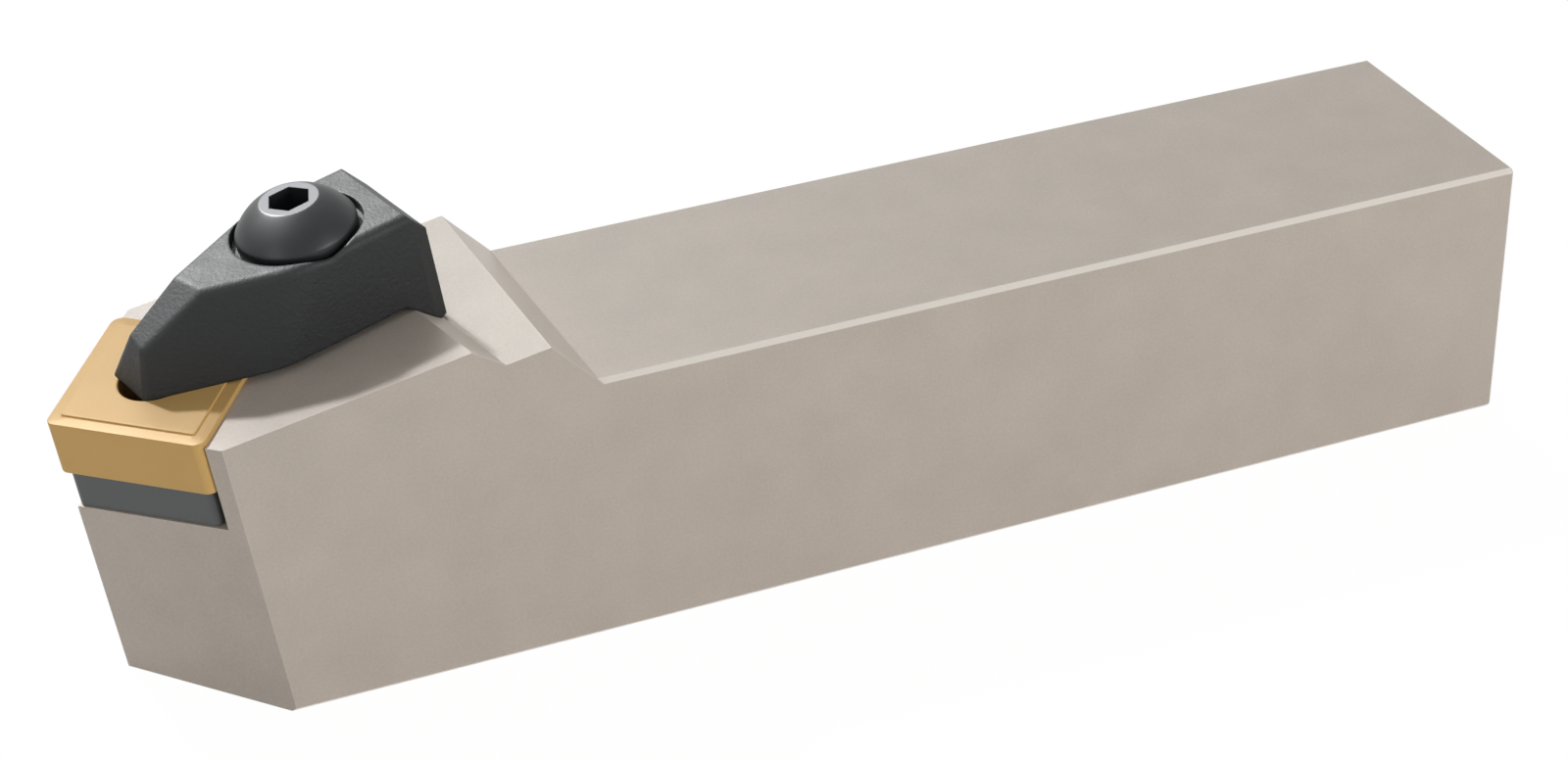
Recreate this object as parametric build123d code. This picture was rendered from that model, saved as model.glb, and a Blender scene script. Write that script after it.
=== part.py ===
from build123d import *
import math
import os

# Turning tool holder for external work: square shank, neutral nose with an 80 degree rhombic insert
# set on its 100 degree corner, and a finger clamp that presses the insert down and pulls it back.
#
# Row frame: +X towards the tail, -X towards the cutting nose, +Z up, Y across the shank.
# Its origin is the middle of the tool's length and width, on the shank's bottom face.
#
# Deck frame: the head is milled square to a deck that falls SEAT_TILT degrees towards the nose.
# Its x runs up the deck towards the tail, its y is row Y, and its z is the height over the deck.
# Its origin lies on the axis of the insert's hole.
#
# Clamp frame: x runs from the clamp screw towards the tip of the finger, y towards the tool's right
# side, and z is the height over the deck. Right is row -Y, as someone who faces the nose sees it.

# ---------------------------------------------------------------- driving dimensions, mm and degrees
TOOL_LENGTH = 132.5             # tail face to cutting nose
SHANK_WIDTH = 25.0
SHANK_HEIGHT = 25.0
SHANK_BEVEL = 0.41              # along the four long edges
TAIL_BEVEL = 0.25               # round the tail face
CUTTING_NOSE_RISE = 0.15        # cutting nose over the shank's top face
SEAT_TILT = 10.0                # negative rake of the deck, pocket, shim and insert

INSERT_SIDE = 15.15             # side of the rhombus, sharp corner to sharp corner
INSERT_ACUTE = 80.0             # angle of its side corners
INSERT_EDGE_HEIGHT = 4.9        # cutting edge to opposite cutting edge
INSERT_CORNER = 0.9             # corner radius
INSERT_HOLE = 6.4
INSERT_HOLE_BEVEL = 0.1
INSERT_BAND = 1.1               # width of the sloping chip band inside the cutting edge
INSERT_BAND_FALL = 0.10         # fall of the band towards the edge
INSERT_STEP = 0.15              # wall between the band and the raised face
RAISED_CORNER = 0.3             # corner radius of the raised face
EDGE_OVER_DECK = 0.45           # upper cutting edge over the deck

SHIM_THICKNESS = 3.5
SHIM_INSET = 0.55               # shim's sides inside the insert's sides
SHIM_CORNER = 0.7
SHIM_BEVEL = 0.15
NOSE_INSET = 0.42               # holder's nose faces behind the cutting edges
POCKET_RELIEF = 1.2             # diameter of the relief where the pocket's walls meet
RELIEF_INSET = 0.3              # relief's axis in front of that corner

SHIM_SCREW_THREAD = 3.5         # major diameter
SHIM_SCREW_HEAD = 5.6
SHIM_SCREW_SINK = 0.25          # head below the shim's upper face
SHIM_SCREW_LENGTH = 9.5
SHIM_SCREW_HOLE_SPARE = 1.5     # hole left under the screw's point
SHIM_SCREW_SOCKET = 2.0         # across flats
SHIM_SCREW_SOCKET_DEPTH = 1.2
SHIM_SCREW_POINT = 0.5
COUNTERSINK_ANGLE = 90.0
THREAD_FIT = 0.05               # radial clearance of a screw in its tapped hole
PASSING_FIT = 0.25              # radial clearance of a screw through a plain hole
SEAT_FIT = 0.05                 # radial clearance of a countersunk head in its seat

RIDGE_BEHIND_CLAMP = 5.98       # cross ridge that ends the landing, behind the clamp's rear face
RIDGE_FLANK = 45.3              # slope from the ridge down to the shank's top
RIDGE_FOOT_ROUND = 0.4

CLAMP_YAW = 9.5                 # skew of the finger clamp in plan
SCREW_OFFSET = 0.85             # clamp screw off the tool's centre line, towards +Y
SHOULDER_BEHIND_SCREW = 6.1     # deck's rear edge
SHOULDER_SLOPE = 43.0           # ramp from the deck down to the landing
LANDING_DEPTH = 2.33            # landing below the deck

HEEL_LENGTH = 0.72              # foot of the heel, from the ramp to the rear face
CLAMP_TOP = 8.78                # top face over the deck
TIP_PAST_HOLE = 2.37            # lower front edge of the tip past the axis of the insert's hole
TIP_LEAN = 14.0                 # front face leans back
HEEL_FLOAT = 0.3                # heel's foot over the landing
REAR_BEVEL_RUN = 1.83           # bevel at the top of the rear face
REAR_BEVEL_DROP = 2.35
REAR_CORNER = 0.8               # bevels down the rear corners, across the rear face
REAR_CORNER_RUN = 1.3           # the same bevels, along the flanks
FORGED_ROUND = 0.8              # rounding of the upper and front edges
RIGHT_BLEND = 7.0               # radius where the right flank starts to taper
LEFT_BLEND = 2.0                # radius where the left flank starts to taper
NOSE_FACET_LENGTH = 6.44        # the nose facet leaves the top face this far behind the tip, on the mid line
NOSE_FACET_SKEW = 10.5          # plan skew of that edge
NOSE_FACET_FALL = 34.8
RIGHT_FACET_LENGTH = 10.57      # the right flank tapers from this far behind the tip, at the underside
RIGHT_FACET_ANGLE = 24.2
RIGHT_FACET_DRAFT = 11.3
LEFT_FACET_LENGTH = 15.72       # the left flank tapers from this far behind the tip, at the top face
LEFT_FACET_ANGLE = 24.1
LEFT_FACET_DRAFT = 37.6
LIP_DEPTH = 0.9                 # lip under the tip that drops into the insert's hole
LIP_WALL_GAP = 0.3              # lip to the rear wall of that hole
LIP_DIAMETER = 4.9

SCREW_THREAD = 5.0              # major diameter
SCREW_HEAD = 10.16
SCREW_HEAD_RISE = 2.79          # head's flat over the clamp's top face
SCREW_HEAD_FLAT = 5.0           # diameter of that flat
SCREW_DOME = 2.5                # height of the domed part
SCREW_SOCKET = 3.25             # across flats
SCREW_SOCKET_DEPTH = 2.2
SCREW_SOCKET_TURN = 1.1         # socket's corner from the clamp's mid line
SCREW_BELOW_DECK = 15.0
SCREW_POINT = 0.8
SCREW_HOLE_SPARE = 2.0
COUNTERBORE_GAP = 0.5           # radial gap round the head
COUNTERBORE_DEPTH = 0.9
COUNTERBORE_WALL = 0.08         # left beside the counterbore, under the rounded edge

SPRING_OUTSIDE = 7.6
SPRING_WIRE = 0.7
SPRING_WIRE_SIDES = 8           # round wire, drawn as a polygon to keep its surface light
SPRING_TURNS = 4.5
SPRING_GAP = 0.3                # radial gap round the spring
SPRING_END_GAP = 0.02           # at each end
SPRING_WALL = 0.72              # between the spring's pocket and the corner of the insert's pocket
SPRING_POCKET_DEPTH = 5.0       # in the deck
SPRING_SEAT_DEPTH = 1.0         # in the clamp's underside

# ---------------------------------------------------------------- worked-out places
TILT_COS = math.cos(math.radians(SEAT_TILT))
TILT_SIN = math.sin(math.radians(SEAT_TILT))
HALF_ACUTE = math.radians(INSERT_ACUTE / 2)
FLARE = 1 / math.tan(HALF_ACUTE)                    # half width of the nose wedge per unit length
NOSE_REACH = INSERT_SIDE * math.sin(HALF_ACUTE)     # hole axis to the sharp cutting nose
SIDE_REACH = INSERT_SIDE * math.cos(HALF_ACUTE)     # hole axis to the sharp side corners
NOSE_ROUNDED = NOSE_REACH - INSERT_CORNER * (1 / math.cos(HALF_ACUTE) - 1)

FACE_RISE = INSERT_BAND_FALL + INSERT_STEP          # raised face over the cutting edge
INSERT_TOP = EDGE_OVER_DECK + FACE_RISE
INSERT_BOTTOM = EDGE_OVER_DECK - INSERT_EDGE_HEIGHT - FACE_RISE
POCKET_FLOOR = INSERT_BOTTOM - SHIM_THICKNESS

TAIL_X = TOOL_LENGTH / 2
CUTTING_HEIGHT = SHANK_HEIGHT + CUTTING_NOSE_RISE
DECK_X = -TOOL_LENGTH / 2 + NOSE_ROUNDED * TILT_COS + EDGE_OVER_DECK * TILT_SIN
DECK_Z = CUTTING_HEIGHT + NOSE_ROUNDED * TILT_SIN - EDGE_OVER_DECK * TILT_COS
DECK = Plane(origin=(DECK_X, 0, DECK_Z), x_dir=(TILT_COS, 0, TILT_SIN), z_dir=(-TILT_SIN, 0, TILT_COS))

SPRING_POCKET = SPRING_OUTSIDE / 2 + SPRING_GAP
SCREW_BEHIND_INSERT = NOSE_REACH + SPRING_WALL + SPRING_POCKET
CLAMP = DECK.location * Location((SCREW_BEHIND_INSERT, SCREW_OFFSET, 0), (0, 0, 180 + CLAMP_YAW))
INSERT_AXIS = (CLAMP.inverse() * DECK.location).position    # the insert's hole in the clamp frame

UNDERSIDE = INSERT_TOP                              # finger's flat underside sits on the insert
RAMP = math.tan(math.radians(SHOULDER_SLOPE))
HEEL_FOOT = -LANDING_DEPTH + HEEL_FLOAT
HEEL_TOE = -SHOULDER_BEHIND_SCREW + HEEL_FOOT / RAMP        # where the heel's ramp meets its foot
CLAMP_REAR = HEEL_TOE - HEEL_LENGTH
CLAMP_TIP = INSERT_AXIS.X + TIP_PAST_HOLE
RIDGE_BEHIND_INSERT = SCREW_BEHIND_INSERT - CLAMP_REAR + RIDGE_BEHIND_CLAMP

SCREW_RADIUS = SCREW_THREAD / 2
COUNTERBORE = SCREW_HEAD / 2 + COUNTERBORE_GAP
COUNTERBORE_FLOOR = CLAMP_TOP - COUNTERBORE_DEPTH
CLAMP_HALF = COUNTERBORE + COUNTERBORE_WALL         # half the clamp's width
SPRING_BOTTOM = -SPRING_POCKET_DEPTH
SPRING_TOP = UNDERSIDE + SPRING_SEAT_DEPTH

FAR = 2 * TOOL_LENGTH                               # beyond every piece, for cutting tools
TOUCH = 0.001                                       # places this close count as the same


def deck_height(x):
    """Row height of the deck's plane at a place along the tool."""
    return DECK_Z + (x - DECK_X) * TILT_SIN / TILT_COS


def upright(radius, low, high, x=0.0, y=0.0):
    """A cylinder along its frame's z axis."""
    return Pos(x, y, (low + high) / 2) * Cylinder(radius, high - low)


def prism(points, low, high):
    """A polygon in its frame's x-y plane, extruded along z."""
    return Pos(0, 0, low) * extrude(make_face(Polyline(*points, close=True)), high - low)


def side_prism(points, width):
    """A polygon in its frame's x-z plane, extruded evenly across y."""
    return extrude(Plane.XZ * make_face(Polyline(*points, close=True)), width / 2, both=True)


def trim(solid, origin, normal):
    """The material behind a plane."""
    return split(solid, bisect_by=Plane(origin=origin, z_dir=normal), keep=Keep.BOTTOM)


def outline_face(inset, corner, height):
    """The insert's outline at a height, set in by inset, with rounded corners."""
    nose = NOSE_REACH - inset / math.cos(HALF_ACUTE)
    side = SIDE_REACH - inset / math.sin(HALF_ACUTE)
    face = make_face(Polyline((-nose, 0), (0, -side), (nose, 0), (0, side), close=True))
    return Pos(0, 0, height) * fillet(face.vertices(), corner)


def rhombus(inset, corner, low, high):
    """A plate with the insert's outline, set in by inset."""
    return extrude(outline_face(inset, corner, low), high - low)


def holder_blank():
    """Shank and head as one bar, with the ridge, before the nose is milled."""
    ridge = DECK.from_local_coords((RIDGE_BEHIND_INSERT, 0, -LANDING_DEPTH))
    foot_x = ridge.X + (ridge.Z - SHANK_HEIGHT) / math.tan(math.radians(RIDGE_FLANK))
    front = -TOOL_LENGTH
    outline = [
        (front, 0),
        (TAIL_X, 0),
        (TAIL_X, SHANK_HEIGHT),
        (foot_x, SHANK_HEIGHT),
        (ridge.X, ridge.Z),
        (ridge.X, deck_height(ridge.X)),
        (front, deck_height(front)),
    ]
    return side_prism(outline, SHANK_WIDTH)


def nose_wedge():
    """Everything inside the two nose faces, square to the deck."""
    tip = -(NOSE_REACH - NOSE_INSET / math.cos(HALF_ACUTE))
    wide = tip + SHANK_WIDTH / FLARE
    outline = [(tip, 0), (wide, -SHANK_WIDTH), (FAR, -SHANK_WIDTH), (FAR, SHANK_WIDTH), (wide, SHANK_WIDTH)]
    return DECK * prism(outline, -FAR, FAR)


def insert_pocket():
    """Open pocket with two walls on the insert's rear sides."""
    wide = NOSE_REACH - SHANK_WIDTH / FLARE
    outline = [
        (NOSE_REACH, 0),
        (wide, SHANK_WIDTH),
        (-FAR, SHANK_WIDTH),
        (-FAR, -SHANK_WIDTH),
        (wide, -SHANK_WIDTH),
    ]
    relief = upright(POCKET_RELIEF / 2, POCKET_FLOOR, FAR, NOSE_REACH - RELIEF_INSET)
    return DECK * (prism(outline, POCKET_FLOOR, FAR) + relief)


def heel_step():
    """Room behind the shoulder for the clamp's heel, down to the landing."""
    outline = [
        (-SHOULDER_BEHIND_SCREW - LANDING_DEPTH / RAMP, -LANDING_DEPTH),
        (-SHOULDER_BEHIND_SCREW + FAR / RAMP, FAR),
        (-FAR, FAR),
        (-FAR, -LANDING_DEPTH),
    ]
    return CLAMP * side_prism(outline, FAR)


def holder_holes():
    """Tapped holes for both screws, and the lift spring's pocket."""
    screw = upright(SCREW_RADIUS + THREAD_FIT, -SCREW_BELOW_DECK - SCREW_HOLE_SPARE, FAR)
    spring = upright(SPRING_POCKET, -SPRING_POCKET_DEPTH, FAR)
    shim_depth = INSERT_BOTTOM - SHIM_SCREW_SINK - SHIM_SCREW_LENGTH - SHIM_SCREW_HOLE_SPARE
    shim = upright(SHIM_SCREW_THREAD / 2 + THREAD_FIT, shim_depth, FAR)
    return [CLAMP * (screw + spring), DECK * shim]


def holder_body():
    """Milled steel holder."""
    body = holder_blank() & nose_wedge()
    body -= heel_step()
    body = chamfer(body.edges().filter_by(Axis.X), SHANK_BEVEL)
    tail = body.faces().sort_by(Axis.X)[-1]
    body = chamfer(tail.edges(), TAIL_BEVEL)
    foot = body.edges().filter_by(Axis.Y).filter_by_position(Axis.Z, SHANK_HEIGHT, SHANK_HEIGHT)
    body = fillet(foot.sort_by(Axis.X)[0], RIDGE_FOOT_ROUND)
    body -= insert_pocket()
    for hole in holder_holes():
        body -= hole
    return body


def insert_face(edge_height, direction):
    """One side of the insert outside its edges: the sloping band, then the raised face."""
    band_top = edge_height + direction * INSERT_BAND_FALL
    face_top = edge_height + direction * FACE_RISE
    band = loft([
        outline_face(0, INSERT_CORNER, edge_height),
        outline_face(INSERT_BAND, RAISED_CORNER, band_top),
    ], ruled=True)
    raised = extrude(outline_face(INSERT_BAND, RAISED_CORNER, band_top), face_top - band_top)
    return band + raised


def insert():
    """Double-sided rhombic insert with a plain hole."""
    low_edge = EDGE_OVER_DECK - INSERT_EDGE_HEIGHT
    body = rhombus(0, INSERT_CORNER, low_edge, EDGE_OVER_DECK)
    body += insert_face(EDGE_OVER_DECK, 1)
    body += insert_face(low_edge, -1)
    body -= upright(INSERT_HOLE / 2, -FAR, FAR)
    mouths = body.edges().filter_by(GeomType.CIRCLE).filter_by(
        lambda edge: abs(edge.radius - INSERT_HOLE / 2) < TOUCH)
    body = chamfer(mouths, INSERT_HOLE_BEVEL)
    return DECK * body


def countersunk_head():
    """Height of the shim screw's cone, from its head down to its thread."""
    spread = (SHIM_SCREW_HEAD - SHIM_SCREW_THREAD) / 2
    return spread / math.tan(math.radians(COUNTERSINK_ANGLE / 2))


def shim_screw_profile(clearance):
    """Half section of the countersunk head and upper shank, grown by a radial clearance."""
    head = SHIM_SCREW_HEAD / 2 + clearance
    neck = SHIM_SCREW_THREAD / 2 + clearance
    top = INSERT_BOTTOM - SHIM_SCREW_SINK
    cone = countersunk_head()
    return top, cone, head, neck


def shim():
    """Rhombic seat plate under the insert, countersunk for its screw."""
    plate = rhombus(SHIM_INSET, SHIM_CORNER, POCKET_FLOOR, INSERT_BOTTOM)
    plate = chamfer(plate.faces().filter_by(Axis.Z).edges(), SHIM_BEVEL)
    top, cone, head, neck = shim_screw_profile(SEAT_FIT)
    seat = Pos(0, 0, top - cone / 2) * Cone(neck, head, cone)
    mouth = upright(head, top, FAR)
    shaft = upright(SHIM_SCREW_THREAD / 2 + PASSING_FIT, -FAR, top - cone)
    return DECK * (plate - seat - mouth - shaft)


def hexagon(across_flats, low, high, turn=0.0):
    """Hexagonal prism along its frame's z axis, with a corner on x before its turn."""
    section = RegularPolygon(across_flats / 2, 6, major_radius=False, rotation=turn)
    return Pos(0, 0, low) * extrude(section, high - low)


def shim_screw():
    """Countersunk screw that holds the shim to the pocket's floor."""
    top, cone, head, neck = shim_screw_profile(0)
    point = top - SHIM_SCREW_LENGTH
    head_cone = Pos(0, 0, top - cone / 2) * Cone(neck, head, cone)
    shank = upright(neck, point, top - cone)
    shank = chamfer(shank.edges().sort_by(Axis.Z)[0], SHIM_SCREW_POINT)
    socket = hexagon(SHIM_SCREW_SOCKET, top - SHIM_SCREW_SOCKET_DEPTH, FAR)
    return DECK * (head_cone + shank - socket)


def clamp_side():
    """Side outline of the finger clamp: heel, ramp, underside, tip and top."""
    lean = math.tan(math.radians(TIP_LEAN))
    return [
        (CLAMP_REAR, HEEL_FOOT),
        (HEEL_TOE, HEEL_FOOT),
        (-SHOULDER_BEHIND_SCREW + UNDERSIDE / RAMP, UNDERSIDE),
        (CLAMP_TIP, UNDERSIDE),
        (CLAMP_TIP - lean * (CLAMP_TOP - UNDERSIDE), CLAMP_TOP),
        (CLAMP_REAR + REAR_BEVEL_RUN, CLAMP_TOP),
        (CLAMP_REAR, CLAMP_TOP - REAR_BEVEL_DROP),
    ]


def clamp_facets(body):
    """Cut the nose facet and the two tapered, drafted flanks of the finger."""
    skew = math.tan(math.radians(NOSE_FACET_SKEW))
    fall = math.tan(math.radians(NOSE_FACET_FALL))
    body = trim(body, (CLAMP_TIP - NOSE_FACET_LENGTH, 0, CLAMP_TOP), (1, skew, 1 / fall))
    right = (math.tan(math.radians(RIGHT_FACET_ANGLE)), 1, math.tan(math.radians(RIGHT_FACET_DRAFT)))
    body = trim(body, (CLAMP_TIP - RIGHT_FACET_LENGTH, CLAMP_HALF, UNDERSIDE), right)
    left = (math.tan(math.radians(LEFT_FACET_ANGLE)), -1, math.tan(math.radians(LEFT_FACET_DRAFT)))
    return trim(body, (CLAMP_TIP - LEFT_FACET_LENGTH, -CLAMP_HALF, CLAMP_TOP), left)


def starts_taper(edge, flank):
    """Whether an edge rises on a flank ahead of the screw, where its taper starts."""
    on_flank = all(abs(corner.Y - flank) < TOUCH for corner in edge.vertices())
    rises = edge.bounding_box().size.Z > TOUCH
    return on_flank and rises and edge.center().X > 0


def clamp_rounds(body):
    """Blend the start of each taper, then round the edges over the underside and ahead of the rear bevel."""
    for flank, radius in ((CLAMP_HALF, RIGHT_BLEND), (-CLAMP_HALF, LEFT_BLEND)):
        body = fillet(body.edges().filter_by(lambda edge: starts_taper(edge, flank)), radius)
    rear = CLAMP_REAR + REAR_BEVEL_RUN + TOUCH
    upper = body.edges().filter_by(lambda edge: edge.bounding_box().max.Z > UNDERSIDE + TOUCH)
    return fillet(upper.filter_by(lambda edge: edge.center().X > rear), FORGED_ROUND)


def clamp_lip():
    """Lip under the tip that reaches into the insert's hole and pulls it back."""
    behind = (INSERT_HOLE - LIP_DIAMETER) / 2 - LIP_WALL_GAP
    low = UNDERSIDE - LIP_DEPTH
    return upright(LIP_DIAMETER / 2, low, UNDERSIDE + LIP_DEPTH, INSERT_AXIS.X - behind, INSERT_AXIS.Y)


def clamp():
    """Forged finger clamp."""
    body = side_prism(clamp_side(), 2 * CLAMP_HALF)
    rear = body.faces().sort_by(Axis.X)[0]
    body = chamfer(rear.edges().filter_by(Axis.Z), REAR_CORNER, REAR_CORNER_RUN, reference=rear)
    body = clamp_rounds(clamp_facets(body))
    body += clamp_lip()
    body -= upright(COUNTERBORE, COUNTERBORE_FLOOR, FAR)
    body -= upright(SCREW_RADIUS + PASSING_FIT, -FAR, FAR)
    body -= upright(SPRING_POCKET, -FAR, SPRING_TOP)
    return CLAMP * body


def clamp_screw():
    """Button-head screw with a hexagon socket."""
    head = SCREW_HEAD / 2
    flat = SCREW_HEAD_FLAT / 2
    top = CLAMP_TOP + SCREW_HEAD_RISE
    rim = top - SCREW_DOME
    # The dome is an arc that leaves the flat with the slope of a ball centred on the screw's axis.
    drop = (head ** 2 - flat ** 2 - SCREW_DOME ** 2) / (2 * SCREW_DOME)
    ball = math.hypot(flat, drop + SCREW_DOME)
    mid_angle = (math.atan2(drop, head) + math.atan2(drop + SCREW_DOME, flat)) / 2
    middle = (ball * math.cos(mid_angle), 0, rim - drop + ball * math.sin(mid_angle))
    point = -SCREW_BELOW_DECK
    lines = Polyline((head, 0, rim), (head, 0, COUNTERBORE_FLOOR), (SCREW_RADIUS, 0, COUNTERBORE_FLOOR),
                     (SCREW_RADIUS, 0, point + SCREW_POINT), (SCREW_RADIUS - SCREW_POINT, 0, point),
                     (0, 0, point), (0, 0, top), (flat, 0, top))
    dome = ThreePointArc((flat, 0, top), middle, (head, 0, rim))
    body = revolve(make_face(lines + dome), Axis.Z)
    socket = hexagon(SCREW_SOCKET, top - SCREW_SOCKET_DEPTH, FAR, SCREW_SOCKET_TURN)
    return CLAMP * (body - socket)


def lift_spring():
    """Compression spring between the deck's pocket and the clamp."""
    low = SPRING_BOTTOM + SPRING_WIRE / 2 + SPRING_END_GAP
    high = SPRING_TOP - SPRING_WIRE / 2 - SPRING_END_GAP
    radius = (SPRING_OUTSIDE - SPRING_WIRE) / 2
    path = Pos(0, 0, low) * Helix((high - low) / SPRING_TURNS, high - low, radius)
    wire = Plane(origin=path @ 0, z_dir=path % 0) * RegularPolygon(SPRING_WIRE / 2, SPRING_WIRE_SIDES)
    return CLAMP * sweep(wire, path=path, is_frenet=True)


def main():
    os.makedirs("parts", exist_ok=True)
    nodes = {
        "holder_body": holder_body,
        "shim": shim,
        "shim_screw": shim_screw,
        "insert": insert,
        "clamp": clamp,
        "clamp_screw": clamp_screw,
        "lift_spring": lift_spring,
    }
    for name, make in nodes.items():
        export_step(make(), f"parts/{name}.step")


main()
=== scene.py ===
import math

import bmesh
import bpy
from bpy.props import FloatProperty, FloatVectorProperty, IntProperty, PointerProperty
from mathutils import Matrix, Vector


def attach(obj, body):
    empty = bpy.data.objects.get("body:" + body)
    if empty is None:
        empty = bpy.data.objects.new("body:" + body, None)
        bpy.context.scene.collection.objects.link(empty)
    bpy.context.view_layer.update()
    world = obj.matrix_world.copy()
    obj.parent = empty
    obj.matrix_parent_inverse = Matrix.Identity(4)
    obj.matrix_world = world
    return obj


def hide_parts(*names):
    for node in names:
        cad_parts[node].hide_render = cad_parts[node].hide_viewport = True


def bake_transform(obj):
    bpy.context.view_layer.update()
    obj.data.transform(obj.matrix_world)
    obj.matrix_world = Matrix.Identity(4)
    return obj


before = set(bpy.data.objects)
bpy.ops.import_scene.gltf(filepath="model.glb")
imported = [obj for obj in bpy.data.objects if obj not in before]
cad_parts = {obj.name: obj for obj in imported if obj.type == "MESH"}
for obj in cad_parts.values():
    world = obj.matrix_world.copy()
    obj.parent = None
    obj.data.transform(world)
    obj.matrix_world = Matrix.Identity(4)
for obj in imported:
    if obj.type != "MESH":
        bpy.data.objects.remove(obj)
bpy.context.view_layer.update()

bl_info = {
    "name": "Turning Tool Holder",
    "version": (1, 0, 0),
    "blender": (4, 5, 0),
    "location": "View3D > Sidebar > Tool Holder",
    "description": "Finishes a square-shank turning tool holder round its packed frame",
    "category": "Add Mesh",
}

MM = 0.001
TURN = 2 * math.pi

# The deck frame: x up the deck towards the tail, y across the tool, z the height over the deck.
SEAT_TILT = math.radians(10.0)
HOLE_AXIS = Vector((-56.8523, 0.0, 26.3501)) * MM      # where the insert's hole meets the deck
# The clamp frame: x from the clamp screw towards the finger's tip, z the height over the deck.
CLAMP_YAW = math.radians(9.5)
SCREW_AXIS = Vector((-42.5152, 0.85, 28.8781)) * MM

HALF_ACUTE = math.radians(40.0)
FINE_GRAIN = "Fine Grain"
EDGE_WEAR_AND_SHEEN = "Worn Edge"
SOFT_EDGE = "Soft Edge"
THREADED_ROD = "Threaded Rod"
WOUND_SPRING = "Wound Spring"

TURNED_SHARP = 28.0     # degrees between faces from which a turned edge is crisp
CARBIDE_SHARP = 25.0    # the same, on carbide
GRAIN_SHARE = 0.6       # how much of a finish's colour change follows the close grain
COOL = (0.94, 0.98, 1.0)
NEUTRAL = (1.0, 1.0, 1.0)

# Each lamp's name in the settings, azimuth from +X towards +Y and elevation in degrees, distance and
# size in metres, tint, and whether it lights matt surfaces. The sheen lamps add gloss only.
LAMPS = (
    ("key", 111.0, 47.5, 0.7, 0.05, NEUTRAL, True),
    ("back", 80.0, 42.0, 0.9, 0.42, COOL, True),
    ("fill", -58.0, 14.0, 0.9, 0.40, NEUTRAL, True),
    ("nose_fill", -155.0, 14.0, 0.9, 0.40, NEUTRAL, True),
    ("key_sheen", 111.0, 47.5, 0.7, 0.05, NEUTRAL, False),
    ("left_sheen", 165.0, 54.0, 0.7, 0.60, COOL, False),
    ("nose_sheen", 138.0, 27.0, 0.9, 0.30, COOL, False),
)
LIT_MIDDLE = Vector((-30.0, 0.0, 20.0)) * MM             # the lamps aim here

CAMERA_PLACE = Vector((-132.382, -281.487, 195.541)) * MM
CAMERA_AROUND, CAMERA_UP, CAMERA_ROLL = (math.radians(angle) for angle in (-25.08, 30.452, 0.07))


def deck_matrix():
    """From the deck frame, in metres, to the tool's own frame."""
    return Matrix.Translation(HOLE_AXIS) @ Matrix.Rotation(-SEAT_TILT, 4, "Y")


def clamp_matrix(turn=0.0):
    """From the clamp frame, in metres, to the tool's own frame, with an extra turn about the screw."""
    tilt = Matrix.Rotation(-SEAT_TILT, 4, "Y")
    return Matrix.Translation(SCREW_AXIS) @ tilt @ Matrix.Rotation(math.pi + CLAMP_YAW + turn, 4, "Z")


# ---------------------------------------------------------------- settings


def length(name, description, default):
    """A length in metres, given in millimetres."""
    return FloatProperty(name=name, description=description, default=default * MM, min=0.0,
                         precision=5, subtype="DISTANCE", unit="LENGTH")


def colour(name, description, default):
    return FloatVectorProperty(name=name, description=description, default=default, size=3,
                               min=0.0, max=1.0, subtype="COLOR")


def power(name, description, default):
    return FloatProperty(name=name, description=description, default=default, min=0.0,
                         subtype="POWER", unit="POWER")


class HolderSettings(bpy.types.PropertyGroup):
    edge_break: length("Edge break", "Width of the broken edges left by the cutter", 0.10)
    steel: colour("Steel", "Satin plated steel", (0.53, 0.465, 0.404))
    # bright_edge on the holder is a painted highlight along its edges as well as polish of the plating.
    bright_edge: colour("Bright edge", "Polished edge of the plating", (0.80, 0.74, 0.66))
    # bright_bevel is a painted highlight on the shank's bevels, laid over the ground metal's own lighter
    # tone.
    bright_bevel: colour("Bright bevel", "Ground bevels along the shank", (0.90, 0.84, 0.76))


class InsertSettings(bpy.types.PropertyGroup):
    side: length("Side", "Side of the rhombus, sharp corner to sharp corner", 15.15)
    corner: length("Corner", "Corner radius", 0.9)
    upper_edge: length("Upper edge", "Cutting edge over the deck", 0.45)
    height: length("Height", "Cutting edge to cutting edge", 4.9)
    band: length("Band", "Width of the chip band inside the cutting edge", 1.1)
    hole: length("Hole", "Diameter of the hole", 6.4)
    coating: colour("Coating", "Gold coating", (0.67, 0.42, 0.15))
    honed_edge: colour("Honed edge", "Polished cutting edge", (0.70, 0.46, 0.19))


class ShimSettings(bpy.types.PropertyGroup):
    inset: length("Inset", "Shim's sides inside the insert's sides", 0.55)
    corner: length("Corner", "Corner radius", 0.7)
    bevel: length("Bevel", "Bevel round both faces", 0.15)
    carbide: colour("Carbide", "Ground carbide", (0.085, 0.09, 0.09))
    bright_edge: colour("Bright edge", "Polished edge of the carbide", (0.20, 0.20, 0.195))


class ClampSettings(bpy.types.PropertyGroup):
    oxide: colour("Oxide", "Black oxide on the forging", (0.006, 0.007, 0.0075))
    rubbed: colour("Rubbed", "Oxide rubbed thin on the edges", (0.04, 0.043, 0.046))


class ScrewSettings(bpy.types.PropertyGroup):
    head: length("Head", "Diameter of the button head", 10.16)
    flat: length("Flat", "Diameter of the flat round the socket", 5.0)
    socket: length("Socket", "Across the flats of the hexagon socket", 3.25)
    thread: length("Thread", "Major diameter", 5.0)
    pitch: length("Pitch", "Rise of one turn", 0.8)
    steel: colour("Steel", "Black oxide on turned steel", (0.010, 0.0115, 0.0125))
    # bright is a painted reflection: the flat round the socket is coloured lighter for the light it reflects.
    bright: colour("Bright", "The flat round the socket, worn bright", (0.24, 0.25, 0.27))
    rubbed: colour("Rubbed", "Oxide rubbed thin on the edges", (0.05, 0.053, 0.056))


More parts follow.
